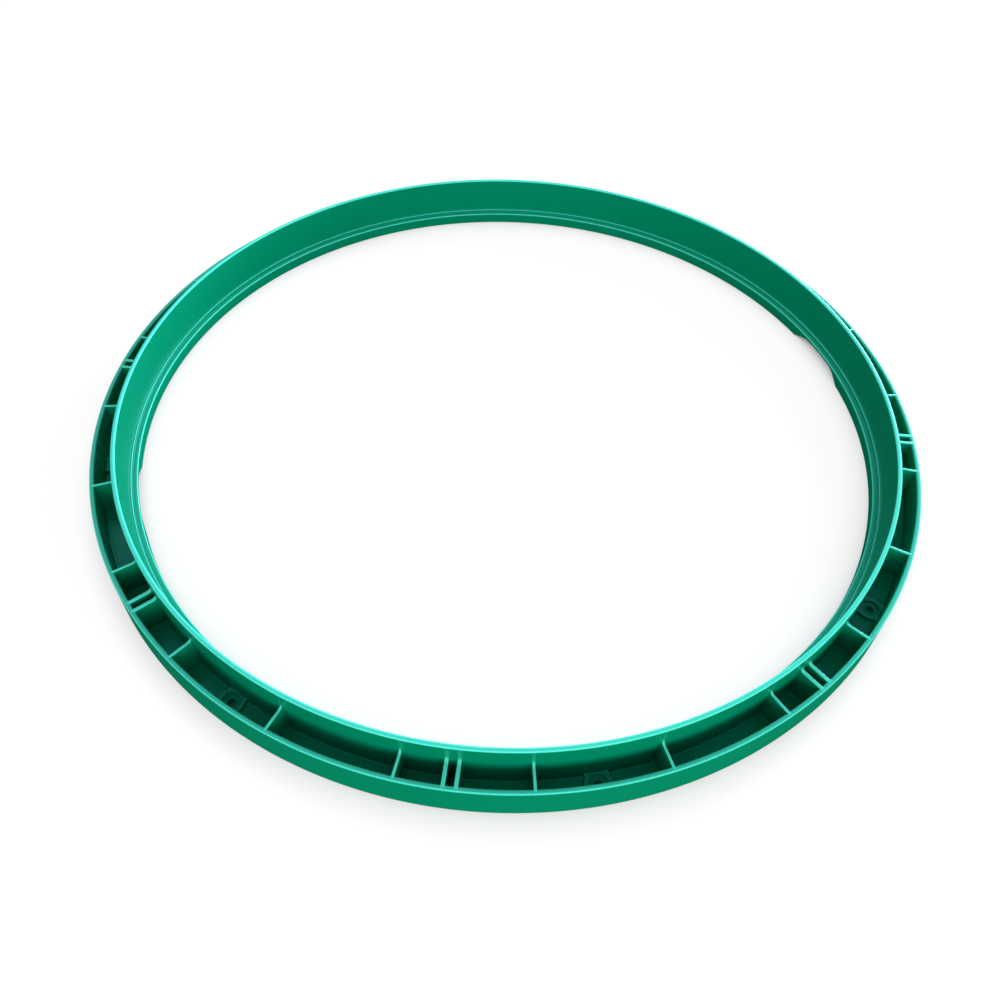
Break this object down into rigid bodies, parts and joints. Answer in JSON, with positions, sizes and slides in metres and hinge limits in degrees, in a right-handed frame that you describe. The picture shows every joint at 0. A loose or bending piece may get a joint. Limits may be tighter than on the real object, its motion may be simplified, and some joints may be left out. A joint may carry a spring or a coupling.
{
  "type": "riser tank adapter",
  "caption": "Round ribbed plastic ring with a raised collar, an open ribbed channel and screw bosses, that seats a riser on a tank opening.",
  "frame": {"origin": "the ring's axis at its flat underside", "axes": "+Z along the ring's axis, from the tank up to the riser; the two notches in the lip lie on the X axis"},
  "size_m": [0.6749, 0.6748, 0.045],
  "materials": {
    "moulded_plastic": "moulded, satin"
  },
  "bodies": {
    "root": {"adapter_ring": "moulded_plastic"}
  },
  "joints": []
}
